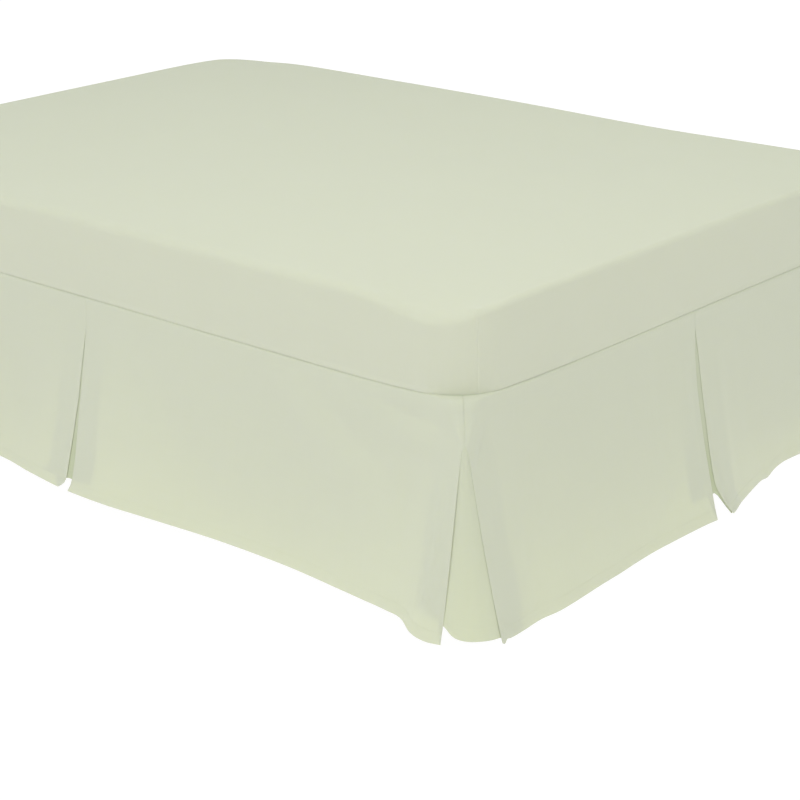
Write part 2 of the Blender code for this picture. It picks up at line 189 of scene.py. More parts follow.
# Hem of each side's front cloth. Columns: place along the side, flare at the hem, drop.
HEM_LEFT = (
    (-0.985, 0.104, 0.387), (-0.957, 0.114, 0.385), (-0.93, 0.119, 0.376),
    (-0.9, 0.108, 0.363), (-0.86, 0.102, 0.362), (-0.74, 0.089, 0.362),
    (-0.6, 0.076, 0.363), (-0.43, 0.077, 0.363), (-0.28, 0.092, 0.362),
    (-0.13, 0.114, 0.358), (-0.02, 0.108, 0.362), (0.1, 0.094, 0.361),
    (0.22, 0.07, 0.366), (0.36, 0.066, 0.366), (0.55, 0.084, 0.363),
    (0.72, 0.076, 0.365), (0.86, 0.09, 0.367), (0.95, 0.104, 0.38),
)
HEM_FOOT = (
    (-0.7, 0.103, 0.3915), (-0.693, 0.104, 0.3945), (-0.686, 0.103, 0.389),
    (-0.675, 0.103, 0.3905), (-0.59, 0.098, 0.391), (-0.54, 0.106, 0.389),
    (-0.42, 0.098, 0.39), (-0.27, 0.083, 0.396), (-0.2, 0.081, 0.3965),
    (-0.08, 0.087, 0.394), (-0.03, 0.092, 0.3935), (0.0, 0.105, 0.389),
    (0.08, 0.078, 0.393), (0.2, 0.045, 0.398), (0.236, 0.039, 0.403),
    (0.265, 0.034, 0.3975), (0.295, 0.03, 0.3955), (0.33, 0.026, 0.397),
    (0.46, 0.036, 0.399), (0.58, 0.08, 0.393), (0.675, 0.104, 0.389),
)
HEM_RIGHT = (
    (-0.95, 0.105, 0.386), (-0.84, 0.088, 0.368), (-0.66, 0.078, 0.364),
    (-0.48, 0.09, 0.362), (-0.3, 0.074, 0.365), (-0.12, 0.098, 0.361),
    (0.02, 0.108, 0.361), (0.16, 0.086, 0.362), (0.34, 0.07, 0.365),
    (0.52, 0.082, 0.363), (0.7, 0.094, 0.362), (0.86, 0.084, 0.366),
    (0.95, 0.1, 0.38),
)
HEM_HEAD = (
    (-0.675, 0.1, 0.388), (-0.48, 0.082, 0.392), (-0.26, 0.094, 0.391),
    (-0.04, 0.078, 0.393), (0.2, 0.09, 0.391), (0.44, 0.08, 0.392),
    (0.675, 0.102, 0.388),
)

# Soft ridges (positive) and troughs (negative) pressed into the front cloth. Columns:
# start along the side, start below the seam, end along, end below, half width, height.
CREASES_LEFT = (
    (-0.5, 0.02, -0.78, 0.22, 0.04, 0.0064), (-0.6, 0.04, -0.8, 0.15, 0.022, -0.004),
    (-0.76, 0.03, -0.94, 0.056, 0.009, -0.0035), (-0.7, 0.05, -0.93, 0.09, 0.022, 0.0038),
    (-0.86, 0.11, -0.85, 0.29, 0.03, -0.0072), (-0.92, 0.1, -0.965, 0.35, 0.02, 0.0032),
    (-0.16, 0.372, -0.8, 0.372, 0.024, 0.0064), (-0.05, 0.06, -0.12, 0.33, 0.03, 0.0032),
    (-0.14, 0.06, -0.36, 0.27, 0.045, -0.0056), (0.07, 0.06, 0.1, 0.34, 0.04, 0.0032),
    (0.2, 0.08, 0.17, 0.3, 0.05, -0.0048),
)
CREASES_FOOT = (
    (-0.615, 0.02, -0.63, 0.37, 0.04, 0.0056), (-0.545, 0.1, -0.55, 0.33, 0.035, -0.0032),
    (-0.045, 0.06, -0.065, 0.26, 0.017, 0.0035), (-0.13, 0.05, -0.135, 0.31, 0.035, -0.004),
    (-0.1, 0.31, -0.22, 0.37, 0.03, -0.004), (-0.38, 0.24, -0.34, 0.38, 0.035, 0.004),
    (-0.64, 0.06, -0.668, 0.1, 0.006, -0.0019), (0.06, 0.04, 0.05, 0.34, 0.02, 0.004),
    (0.15, 0.08, 0.17, 0.33, 0.04, -0.004),
)
CREASES_RIGHT = (
    (0.6, 0.03, 0.76, 0.23, 0.04, 0.0061), (0.24, 0.06, 0.33, 0.28, 0.045, -0.0048),
    (-0.52, 0.04, -0.7, 0.21, 0.04, 0.0058), (-0.2, 0.08, -0.26, 0.29, 0.045, -0.0048),
    (-0.86, 0.1, -0.85, 0.28, 0.03, -0.0058), (0.2, 0.372, 0.78, 0.372, 0.024, 0.0054),
)
CREASES_HEAD = (
    (-0.42, 0.04, -0.5, 0.33, 0.045, 0.0051), (-0.1, 0.07, -0.16, 0.34, 0.05, -0.0048),
    (0.24, 0.05, 0.3, 0.35, 0.045, 0.0054), (0.5, 0.09, 0.47, 0.3, 0.04, -0.0045),
)
CREASE_START = 0.05
CREASE_MARGIN = 0.02
CREASE_FADE = 0.03
CREASE_TAPER = 0.12
RUMPLE = 0.0007
RUMPLE_SIZE = 0.16

# A pleat in the middle of a side: its two folded edges down the drop (columns: share of the
# drop, place of the low edge, place of the high edge), the share at which its returns part,
# and the shares of the drop by which its low and its high return are drawn up.
PLEAT_LEFT = {
    "edges": (
        (0.0, 0.0, 0.0), (0.09, -0.003, -0.003), (0.19, -0.0066, -0.0043),
        (0.3, -0.0102, -0.0055), (0.41, -0.0135, -0.0079), (0.52, -0.0184, -0.0117),
        (0.63, -0.0239, -0.0136), (0.73, -0.0302, -0.0163), (0.81, -0.0357, -0.0182),
        (0.87, -0.0386, -0.02), (0.93, -0.0411, -0.022), (0.97, -0.04, -0.018),
        (1.0, -0.0355, -0.003),
    ),
    "apex": 0.10, "raised": (0.064, 0.052),
}
PLEAT_FOOT = {
    "edges": (
        (0.0, 0.001, 0.001), (0.055, -0.0026, -0.0014), (0.155, -0.0098, -0.0002),
        (0.255, -0.0146, -0.0024), (0.355, -0.0188, -0.0058), (0.455, -0.0212, -0.0092),
        (0.555, -0.0232, -0.0122), (0.655, -0.0249, -0.0158), (0.755, -0.026, -0.0177),
        (0.83, -0.0271, -0.0181), (0.87, -0.0278, -0.0149), (0.94, -0.0288, -0.0066),
        (0.975, -0.0288, 0.001), (1.0, -0.0285, 0.01),
    ),
    "apex": 0.03, "raised": (0.13, 0.004),
}
PLEAT_RIGHT = {
    "edges": (
        (0.0, 0.002, 0.002), (0.1, 0.004, 0.004), (0.3, 0.006, 0.011),
        (0.55, 0.0105, 0.018), (0.78, 0.014, 0.027), (0.9, 0.011, 0.031),
        (1.0, -0.003, 0.03),
    ),
    "apex": 0.10, "raised": (0.045, 0.055),
}
PLEAT_DEPTH = 0.060
PLEAT_SWING = radians(0.3)
PLEAT_PARTS = 10
BACKING_PARTS = 24
TURN_PARTS = 6
BACKING_BULGE = 0.0006
BACKING_SLANT = 0.36
RAISE_RUN = 0.014
RAISE_DROP = 0.5

# Corner pleats. The front cloths part at this share of the drop, and their folded edges bow
# back from a straight line just below it. At the hem their returns have swung in, less on the
# sides that carry no backing.
CORNER_APEX = 0.145
CORNER_BOW = 0.0157
CORNER_SWING = radians(5)
FAR_SWING = radians(2)
EDGE_GAP = 0.00004

# Distance from a folded edge's last flat point to the line where two edges meet, in a middle
# pleat and at a corner.
FOLD_BUTT = LAYER_SPACING / 2 + SKIRT_THICKNESS / 2 + EDGE_GAP
CORNER_BUTT = FOLD_BUTT * 1.35

# Distances from a corner's folded edge at which the cloth has points, and the first step of
# the plainer front beyond them.
FRONT_STEP = 0.008
CORNER_PLACES = (
    0.0, 0.0015, 0.003, 0.0045, 0.006, 0.008, 0.010, 0.0125, 0.015, 0.0175,
    0.020, 0.024, 0.028, 0.033, 0.038, 0.043, 0.048, 0.054, 0.060,
)

# A corner pleat's backing at the hem, from its far end behind the neighbouring side (-1) round
# the corner to its own side's inner fold (1). Columns: place along it, distance behind the
# line of its own side's front cloth, distance behind the neighbour's line, share of the drop
# by which it is drawn up.
CORNER_BACKING = (
    (-1.0, 0.1515, 0.0058, 0.006), (-0.72, 0.119, 0.0048, 0.008),
    (-0.47, 0.0905, 0.004, 0.01), (-0.31, 0.0721, 0.004, 0.013),
    (-0.18, 0.0571, 0.0065, 0.016), (-0.08, 0.0451, 0.0115, 0.019),
    (0.02, 0.0331, 0.0203, 0.021), (0.14, 0.0225, 0.0347, 0.026),
    (0.26, 0.014, 0.0452, 0.04), (0.4, 0.0084, 0.0571, 0.07),
    (0.55, 0.0062, 0.0706, 0.088), (0.77, 0.0056, 0.0905, 0.1),
    (1.0, 0.0064, 0.1118, 0.104),
)
BACKING_SHARES = 56

# Steps along the front cloth between its pleats, on the long and the short sides.
LONG_PARTS = 92
SHORT_PARTS = 66


def bed_side(out, hem, creases, pleat, edges, sag):
    """One side of the bed. The long sides carry the backings of their corner pleats.

    out is its outward direction (x, y), edges how far its low and high corner edges run past
    the bed's corner at the hem, and sag how far its shoulder sinks.
    """
    is_long = out[0] != 0
    halves = (BED_WIDTH / 2, BED_LENGTH / 2)
    across, half = halves if is_long else halves[::-1]
    return SimpleNamespace(
        out=out, hem=hem, creases=creases, pleat=pleat, edges=edges, sag=sag,
        across=across, half=half, backs=is_long,
        neighbours=("foot", "head") if is_long else ("left", "right"),
        parts=LONG_PARTS if is_long else SHORT_PARTS,
    )


SIDES = {
    "left": bed_side((-1, 0), HEM_LEFT, CREASES_LEFT, PLEAT_LEFT, (0.034, 0.030), 0.0004),
    "right": bed_side((1, 0), HEM_RIGHT, CREASES_RIGHT, PLEAT_RIGHT, (0.030, 0.028), 0.0002),
    "foot": bed_side((0, -1), HEM_FOOT, CREASES_FOOT, PLEAT_FOOT, (0.023, 0.026), 0.0),
    "head": bed_side((0, 1), HEM_HEAD, CREASES_HEAD, None, (0.028, 0.026), 0.0002),
}

# Stitches along the skirt's hem
STITCH_LENGTH = 0.0026
STITCH_PITCH = 0.0036
STITCH_WIDTH = 0.0005
STITCH_PROUD = 0.00018

# Painted shade: the cloth's colour is darkened where light seldom reaches it, in the seam's gap
# down to a mark of the skirt's top and up to a mark of the sheet's hem, along the sides and round
# the corners but not across the ends, and partly inside the pleats, most of all low in the middle
# ones.
# Shares of its red, green and blue.
PAINTED_SHADE_SHARES = (0.81, 0.84, 0.76)
PAINTED_SHADE_SKIRT_MARK = 1.6
PAINTED_SHADE_HEM_MARK = 2.4
PAINTED_SHADE_SEAM_FROM = 0.53
PAINTED_SHADE_SEAM_RUN = 0.04
PLEAT_PAINTED_SHADE = 0.58
PLEAT_PAINTED_SHADE_FROM = 0.55
PLEAT_PAINTED_SHADE_RUN = 0.32
CORNER_PAINTED_SHADE = 0.24

# Finishes of the cloths: colour, pitch of the weave, coordinates that it follows, relief,
# sheen, and whether it takes the painted shade.
CLOTHS = {
    "bed_linen": ((0.630, 0.645, 0.527), 0.0008, "UV", 0.5, 0.08, True),
    "skirt_linen": ((0.623, 0.643, 0.521), 0.0008, "UV", 0.5, 0.08, True),
    "hem_thread": ((0.62, 0.635, 0.50), 0.0010, "Object", 0.4, 0.05, False),
    "ticking": ((0.80, 0.79, 0.75), 0.0016, "UV", 0.6, 0.05, False),
    "divan_cloth": ((0.62, 0.59, 0.52), 0.0022, "Object", 0.8, 0.1, False),
}
CLOTH_ROUGHNESS = 0.80
SHADE_RANGE = 0.025
SLUB_FINE = 420.0
SLUB_LONG = 7.0
SLUB_DEEP = 60.0
FOOT_BLACK = (0.03, 0.03, 0.03)
FOOT_ROUGHNESS = 0.42
FEET = 6

# Camera at the photograph's place
CAMERA_AZIMUTH = radians(48.46)
CAMERA_PITCH = radians(20.35)
CAMERA_ROLL = radians(0.61)
CAMERA_PLACE = (-3.18, -3.027, SEAM_HEIGHT + 1.221)
CAMERA_LENS = 94.365

# Light. Columns of the softboxes: place, where it aims, size, power, colour.
WHITE = (1.0, 1.0, 1.0)
SOFTBOXES = {
    "left_softbox": ((-3.4, -0.7, 3.7), (-0.5, -0.7, 0.4), 2.2, 35.0, WHITE),
    "foot_softbox": ((-1.2, -3.7, 3.3), (-0.5, -0.9, 0.3), 2.2, 14.5, (1.0, 1.0, 0.85)),
    "top_softbox": ((-0.2, -0.6, 4.6), (-0.2, -0.6, 0.5), 2.6, 31.0, WHITE),
    "front_softbox": ((-3.6, -3.2, 3.3), (-0.4, -0.6, 0.4), 2.4, 20.0, WHITE),
}
WORLD_COLOUR = (0.98, 1.02, 0.95)
WORLD_STRENGTH = 0.67
FLOOR_HALF = 14
FLOOR_GLOW = 0.965
FLOOR_GREY = 0.06


def smooth_step(share):
    share = min(1.0, max(0.0, share))
    return share * share * (3.0 - 2.0 * share)


def bell(distance):
    return exp(-distance * distance)


def read_table(rows, place):
    """All later columns of a table at a place, on a smooth curve through its rows."""
    place = min(rows[-1][0], max(rows[0][0], place))
    last = len(rows) - 2
    k = next(i for i in range(last + 1) if place <= rows[i + 1][0])
    low, high = rows[k], rows[k + 1]
    before, after = rows[max(k - 1, 0)], rows[min(k + 2, last + 1)]
    span = high[0] - low[0]
    t = (place - low[0]) / span
    values = []
    for column in range(1, len(low)):
        rise_low = span * (high[column] - before[column]) / (high[0] - before[0])
        rise_high = span * (after[column] - low[column]) / (after[0] - low[0])
        values.append(
            (2 * t**3 - 3 * t**2 + 1) * low[column]
            + (t**3 - 2 * t**2 + t) * rise_low
            + (3 * t**2 - 2 * t**3) * high[column]
            + (t**3 - t**2) * rise_high
        )
    return values


def new_object(name, data):
    item = bpy.data.objects.new(name, data)
    bpy.context.scene.collection.objects.link(item)
    return item


def add_mesh(name, points, faces, material, maps=None, deep=None):
    """A new piece. Its points' heights count from the seam; maps are its points' UV places.

    deep is how much painted shade darkens each point's cloth, from 0 to 1.
    """
    mesh = bpy.data.meshes.new(name)
    mesh.from_pydata([(x, y, z + SEAM_HEIGHT) for x, y, z in points], [], faces)
    mesh.update()
    mesh.materials.append(material)
    if maps:
        layer = mesh.uv_layers.new(name="cloth")
        for loop in mesh.loops:
            layer.data[loop.index].uv = maps[loop.vertex_index]
    if deep:
        painted_shade_layer = mesh.attributes.new(name="deep", type="FLOAT", domain="POINT")
        painted_shade_layer.data.foreach_set("value", deep)
    return new_object(name, mesh)


def select_only(item):
    bpy.ops.object.select_all(action="DESELECT")
    bpy.context.view_layer.objects.active = item
    item.select_set(True)


def smooth(item):
    """Smooth faces, with the folds and rims kept crisp."""
    item.data.shade_smooth()
    item.data.set_sharp_from_angle(angle=SHARP_ANGLE)


def thicken(item, thickness, offset):
    """Give an open cloth its thickness."""
    solid = item.modifiers.new("Thickness", "SOLIDIFY")
    solid.thickness = thickness
    solid.offset = offset
    select_only(item)
    bpy.ops.object.modifier_apply(modifier=solid.name)
    smooth(item)


# Fitted sheet and mattress


def profile_marks(parts):
    """Marks along the sheet's profile."""
    marks = [0.0]
    for row, count in enumerate(parts):
        marks += [row + (k + 1) / count for k in range(count)]
    return marks


def corner_angles(start, seam, steps, evenness):
    """Turns round one corner: closer together near its seam, or evenly spaced."""
    low = seam - SEAM_TURNS[-1]
    high = seam + SEAM_TURNS[-1]
    plain = steps + 1 - len(SEAM_TURNS)
    before = round(plain * (seam - start) / 90)
    after = plain - before
    angles = [start + (low - start) * k / before for k in range(before)]
    angles += [seam + turn for turn in SEAM_TURNS]
    angles += [high + (start + 90 - high) * (k + 1) / after for k in range(after)]
    return [angle + (start + 90 * k / steps - angle) * evenness for k, angle in enumerate(angles)]


def ring_points(out, steps, evenness=0.0):
    """Points round the bed some distance out from its sides, anticlockwise from the right side.

    Each point comes with its outward direction and its distance from the corner's seam.
    """
    half_x = BED_WIDTH / 2 + out
    half_y = BED_LENGTH / 2 + out
    radius = max(INNER_RING_RADIUS, MATTRESS_RADIUS + out)
    points = []
    sides = ((half_x, steps["short"]), (half_y, steps["long"])) * 2
    for corner, (half_side, side_steps) in enumerate(sides):
        sign_x, sign_y, seam = SHEET_SEAMS[corner]
        start = 90 * corner
        centre_x = sign_x * (half_x - radius)
        centre_y = sign_y * (half_y - radius)
        for degrees in corner_angles(start, seam, steps["arc"], evenness):
            angle = radians(degrees)
            away = (cos(angle), sin(angle))
            from_seam = radians(degrees - seam) * MATTRESS_RADIUS
            place = (centre_x + radius * away[0], centre_y + radius * away[1])
            points.append((*place, away, from_seam))
        heading = radians(start + 180)
        end_x, end_y, away, _ = points[-1]
        for k in range(1, side_steps):
            run = 2 * (half_side - radius) * k / side_steps
            place = (end_x + run * cos(heading), end_y + run * sin(heading))
            points.append((*place, away, None))
    return points


def row_faces(count, rows, closed=True, flip=False):
    """Faces between rows of the same number of points, closed round or open at the ends."""
    faces = []
    for row in range(rows - 1):
        for k in range(count if closed else count - 1):
            here = row * count + k
            after = row * count + (k + 1) % count
            face = (here, after, after + count, here + count)
            faces.append(face[::-1] if flip else face)
    return faces


def close_top(count, first, steps):
    """Faces across the innermost ring, between points that face each other."""
    arc, short = steps["arc"], steps["short"]
    turn = 2 * arc + short
    foot = 3 * arc + short + steps["long"]
    faces = [
        tuple(first + k for k in range(arc - 1, arc + short + 2)),
        tuple(first + k for k in range(foot - 1, foot + short + 2)),
    ]
    for k in range(arc + short + 1, foot - 1):
        facing = (k, k + 1, turn - k - 1, turn - k)
        faces.append(tuple(first + point % count for point in facing))
    return faces


def mound(x, y, place_x, place_y, reach, rise):
    """Height of one soft mound at a place."""
    return rise * bell(hypot(x - place_x, y - place_y) / reach)


def dip_depth(x, y, height):
    """How far the top sinks below its plain height at a place."""
    sink = sum(mound(x, y, *dip) for dip in SHEET_DIPS)
    return sink * smooth_step((height - DIP_FROM) / (DIP_FULL - DIP_FROM))


def seam_lift(x, y):
    """How far the seam level rises at a place."""
    return mound(x, y, *SEAM_LIFT)


def crown_rise(x, y):
    across = min(1.0, abs(x) / (BED_WIDTH / 2))
    along = min(1.0, abs(y) / (BED_LENGTH / 2))
    return CROWN_RISE * (1 - across**4) * (1 - along**6)


def seam_relief(from_seam, height):
    """The sewn corner: a fine groove between two soft welts."""
    fade = smooth_step((SEAM_TOP - height) / SEAM_FADE)
    welt = SEAM_WELT * bell(from_seam / SEAM_WELT_WIDTH)
    return fade * (welt - (SEAM_WELT + SEAM_GROOVE) * bell(from_seam / SEAM_GROOVE_WIDTH))


def gather_relief(x, y, along, height):
    """Small gathers low on the wall, strongest at the corners."""
    corner = hypot(abs(x) - BED_WIDTH / 2, abs(y) - BED_LENGTH / 2)
    reach = smooth_step(1.6 - corner / GATHER_SPREAD) * smooth_step(1.2 - height / GATHER_REACH)
    drift = noise.noise(Vector((x * GATHER_DRIFT_SCALE, y * GATHER_DRIFT_SCALE, 0.3)))
    turn = 2 * pi * along / GATHER_LENGTH + GATHER_DRIFT * drift
    return GATHER_HEIGHT * reach * (1 + sin(turn))


def wall_waves(x, y, height):
    """Slow, low unevenness of the stretched cloth."""
    wave = noise.noise(Vector((x * WAVE_SCALE, y * WAVE_SCALE, height * WAVE_SCALE_UP + 4.0)))
    return WAVE_HEIGHT * (wave + WAVE_LEVEL)


def edge_radius(y, away, from_seam):
    """Radius of the mattress's upper edge at a place round it."""
    across, along = away
    sides = ("right" if across > 0 else "left", "head" if along > 0 else "foot")
    radius = across**2 * EDGE_RADII[sides[0]] + along**2 * EDGE_RADII[sides[1]]
    if across < SLUMP_FACING and y < 0:
        slump = smooth_step((SLUMP_FROM - y) / SLUMP_RUN)
        if from_seam is not None:
            slump *= smooth_step(-from_seam / SLUMP_END)
        radius += (SLUMPED_RADIUS - radius) * slump
    return radius


def profile_point(mark, radius):
    """Distance out and height of the sheet's outer face at a mark, without dips and crown."""
    if mark <= WALL_FOOT:
        out, height = read_table(SHEET_HEM, mark)
        return out, max(height, 0.0)
    if mark <= WALL_TOP:
        share = (mark - WALL_FOOT) / (WALL_TOP - WALL_FOOT)
        foot_height = SHEET_HEM[-1][2]
        height = foot_height + (TOP_HEIGHT - radius - foot_height) * share
        return WALL_BOW * sin(pi * share), height
    if mark <= EDGE_END:
        angle = radians(90 / (EDGE_END - WALL_TOP) * (mark - WALL_TOP))
        return -radius * (1 - cos(angle)), TOP_HEIGHT - radius * (1 - sin(angle))
    if mark <= TOP_START:
        return -radius + (SHEET_TOP[0][1] + radius) * (mark - EDGE_END), TOP_HEIGHT
    return read_table(SHEET_TOP, mark)[0], TOP_HEIGHT


def bed_shell(steps, parts, inset, relief):
    """The sheet's outer face, or a plainer one within it: points, faces, map, ring's count."""
    points = []
    maps = []
    outline = ring_points(0.0, steps)
    for mark in profile_marks(parts):
        inner = None
        if mark > TOP_START:
            evenness = smooth_step((mark - TOP_START) / 2)
            inner = ring_points(read_table(SHEET_TOP, mark)[0], steps, evenness)
        fall = smooth_step(mark - HEM_END) * smooth_step((EDGE_END - mark) / WAVE_FADE)
        along = 0.0
        before = outline[-1][:2]
        for k, (base_x, base_y, away, from_seam) in enumerate(outline):
            along += hypot(base_x - before[0], base_y - before[1])
            before = (base_x, base_y)
            radius = edge_radius(base_y, away, from_seam)
            out, height = profile_point(mark, radius)
            x, y = inner[k][:2] if inner else (base_x + out * away[0], base_y + out * away[1])
            place_z = height - dip_depth(x, y, height)
            crown_share = (mark - CROWN_FOOT) / (TOP_START - CROWN_FOOT)
            place_z += crown_rise(x, y) * smooth_step(crown_share)
            place_z += seam_lift(x, y) * (1 - smooth_step(height / LIFT_WALL))
            push = -inset * fall
            if relief:
                push += wall_waves(x, y, height) * fall
                rise = smooth_step((mark - GATHER_START) / GATHER_RISE)
                push += gather_relief(x, y, along, height) * rise
                if from_seam is not None:
                    rise = smooth_step((mark - SEAM_START) / SEAM_RISE)
                    push += seam_relief(from_seam, height) * rise
                wave_place = Vector((x * TOP_WAVE_SCALE, y * TOP_WAVE_SCALE, 9.0))
                place_z += TOP_WAVE_HEIGHT * noise.noise(wave_place) * (mark > EDGE_MIDDLE)
            elif mark > EDGE_MIDDLE:
                place_z -= inset
            else:
                place_z += inset * (mark <= HEM_END)
            points.append((x + push * away[0], y + push * away[1], place_z))
            reach = 0.0 if mark >= EDGE_END else TOP_HEIGHT - height + EDGE_CLOTH * radius
            maps.append((x + reach * away[0], y + reach * away[1]))
    count = len(outline)
    faces = row_faces(count, len(profile_marks(parts)))
    faces += close_top(count, len(points) - count, steps)
    return points, faces, maps, count


def seam_painted_shade(x):
    """How much painted shade darkens the cloth in the seam's gap, at a place across the bed."""
    return smooth_step((abs(x) - PAINTED_SHADE_SEAM_FROM) / PAINTED_SHADE_SEAM_RUN)


def build_sheet(material):
    points, faces, maps, count = bed_shell(SHEET_STEPS, SHEET_PARTS, 0.0, True)
    deep = [0.0] * len(points)
    # Painted shade on the sheet's hem rows in the seam's gap, along the sides and round the
    # corners.
    for row, mark in enumerate(profile_marks(SHEET_PARTS)):
        if mark < PAINTED_SHADE_HEM_MARK:
            ring = points[row * count:(row + 1) * count]
            deep[row * count:(row + 1) * count] = [seam_painted_shade(point[0]) for point in ring]
    sheet = add_mesh("fitted_sheet_cloth", points, faces, material, maps, deep)
    thicken(sheet, SHEET_THICKNESS, -1)
    return sheet


def build_mattress(material):
    points, faces, maps, count = bed_shell(MATTRESS_STEPS, MATTRESS_PARTS, MATTRESS_INSET, False)
    faces.append(tuple(reversed(range(count))))
    mattress = add_mesh("mattress_block", points, faces, material, maps)
    smooth(mattress)
    return mattress


# Valance skirt


def skirt_levels():
    """Levels of the skirt from its heading to its hem."""
    rows = []
    last = SKIRT_SHOULDER[-1][0]
    for k in range(SHOULDER_PARTS + 1):
        mark = last * k / SHOULDER_PARTS
        out, height, radius, turn = read_table(SKIRT_SHOULDER, mark)
        # Painted shade on the skirt's top rows in the seam's gap.
        deep = float(mark < PAINTED_SHADE_SKIRT_MARK)
        rows.append((0.0, out, height, radius, radians(turn), deep))
    first = UPPER_SHARES[-1]
    count = round((DROP_END - first) / DROP_STEP)
    middle = [first + (DROP_END - first) * (k + 1) / count for k in range(count)]
    for share in (*UPPER_SHARES, *middle, *HEM_SHARES):
        corner = radius + (SHARP_CORNER - radius) * smooth_step(share / SHARP_FROM)
        turn = SHOULDER_TURN + (90 - SHOULDER_TURN) * smooth_step(share / SHOULDER_SETTLE)
        rows.append((share, out, height, corner, radians(turn), 0.0))
    names = ("share", "out", "height", "radius", "turn", "deep")
    return [SimpleNamespace(**dict(zip(names, row)), reach={}) for row in rows]


def crease_height(side, place, below):
    """How far the listed creases push the front cloth out at a place."""
    height = 0.0
    for start, start_below, end, end_below, width, rise in side.creases:
        run, fall = end - start, end_below - start_below
        length = hypot(run, fall)
        share = ((place - start) * run + (below - start_below) * fall) / (length * length)
        kept = min(1.0, max(0.0, share))
        away = hypot(place - start - kept * run, below - start_below - kept * fall)
        taper = sin(pi * (CREASE_TAPER + (1 - 2 * CREASE_TAPER) * kept))
        height += rise * bell(away / width) * taper
    rumple = noise.noise(Vector((place / RUMPLE_SIZE, below / RUMPLE_SIZE, side.half * 7)))
    return height + RUMPLE * rumple


def section_point(side, place, level, raised=0.0):
    """Distance out and height of the front cloth's surface, a share of the drop further up."""
    if level.share == 0.0:
        return level.out, level.height - side.sag * smooth_step(level.turn)
    flare, drop = read_table(side.hem, place)
    share = level.share * (1 - raised * smooth_step(level.share / RAISE_DROP))
    out = level.out + (flare - level.out) * share**FLARE_POWER
    height = level.height - side.sag
    height += (-drop - height) * share
    to_end = side.half + CREASE_MARGIN - abs(place)
    fade = smooth_step(share / CREASE_START) * smooth_step(to_end / CREASE_FADE)
    out += crease_height(side, place, -height) * fade
    over_hem = drop + height - HEM_DEPTH
    out += HEM_STEP * smooth_step((HEM_STEP_RUN / 2 - over_hem) / HEM_STEP_RUN)
    return out, height


def corner_reach(side, end, level, raised=0.0):
    """Distance from the bed's middle to where a side's front line meets its neighbour's."""
    key = (side.out, end, raised)
    if key not in level.reach:
        neighbour, own_end = corner_neighbour(side, end)
        out = section_point(neighbour, own_end * neighbour.half, level, raised)[0]
        level.reach[key] = side.half + out
    return level.reach[key]


def corner_neighbour(side, end):
    neighbour = SIDES[side.neighbours[0 if end < 0 else 1]]
    return neighbour, side.out[0] + side.out[1]


def cloth_point(side, place, level, depth, raised=0.0):
    """A point of the cloth, some depth behind its front, brought round a corner near one.

    All layers turn about one centre, so they stay the same distance apart round the corner.
    """
    out, height = section_point(side, place, level, raised)
    inward = depth * sin(level.turn)
    height -= depth * cos(level.turn)
    end = -1 if place < 0 else 1
    radius = level.radius
    reach = corner_reach(side, end, level, raised)
    to_corner = reach - abs(place)
    if to_corner < radius:
        angle = radians(45) * (1 - max(to_corner, 0.0) / radius)
        place = end * (reach - radius + (radius - inward) * sin(angle))
        out -= radius - (radius - inward) * cos(angle)
    else:
        out -= inward
    return lifted_point(side, side.across + out, place, level, height)


def lifted_point(side, across, along, level, height):
    """A point of a side's cloth in the bed's frame, risen with the seam level."""
    out_x, out_y = side.out
    x = out_x * across + abs(out_y) * along
    y = out_y * across + abs(out_x) * along
    return (x, y, height + seam_lift(x, y) * (1 - smooth_step(level.share / LIFT_DROP)))


def corner_edge(side, end, level):
    """Place of the front cloth's folded edge at a corner."""
    reach = corner_reach(side, end, level)
    closed = reach - CORNER_BUTT
    if level.share <= CORNER_APEX:
        return end * closed
    hem_edge = side.half + side.edges[0 if end < 0 else 1]
    share = (level.share - CORNER_APEX) / (1 - CORNER_APEX)
    start = side.apex[end]
    bow = CORNER_BOW * share**0.3 * (1 - share) ** 1.5
    return end * (start * (1 - share) + hem_edge * share - bow)


def pleat_edges(side, level):
    """Places of the two folded edges of a pleat in the middle of a side."""
    low, high = read_table(side.pleat["edges"], level.share)
    middle = (low + high) / 2
    half = max(FOLD_BUTT, (high - low) / 2)
    return middle - half, middle + half


def spread(start, end, parts):
    return [start + (end - start) * k / parts for k in range(parts + 1)]


def half_turn(side, place, outward, level, depth, raised=0.0):
    """A fold's rounded end, from one layer back to the next one in front of it."""
    half_gap = LAYER_SPACING / 2
    points = []
    for k in range(1, TURN_PARTS):
        angle = pi * k / TURN_PARTS
        across = place + outward * half_gap * sin(angle)
        layer = depth - half_gap + half_gap * cos(angle)
        points.append(cloth_point(side, across, level, layer, raised))
    return points


def folded_end(side, edge, inward, distances, level, swing, raised):
    """From the inner fold of a return, swung in behind the front, to the front's folded edge."""
    points = []
    for distance in reversed(distances):
        place = edge + inward * distance * cos(swing)
        depth = LAYER_SPACING + distance * sin(swing)
        drawn_up = raised * smooth_step(distance / RAISE_RUN)
        points.append(cloth_point(side, place, level, depth, drawn_up))
    return points + half_turn(side, edge, -inward, level, LAYER_SPACING)


def opening(level, apex=CORNER_APEX):
    """How far a pleat has opened at a level, from its apex to the hem."""
    return smooth_step((level.share - apex) / (1 - apex))


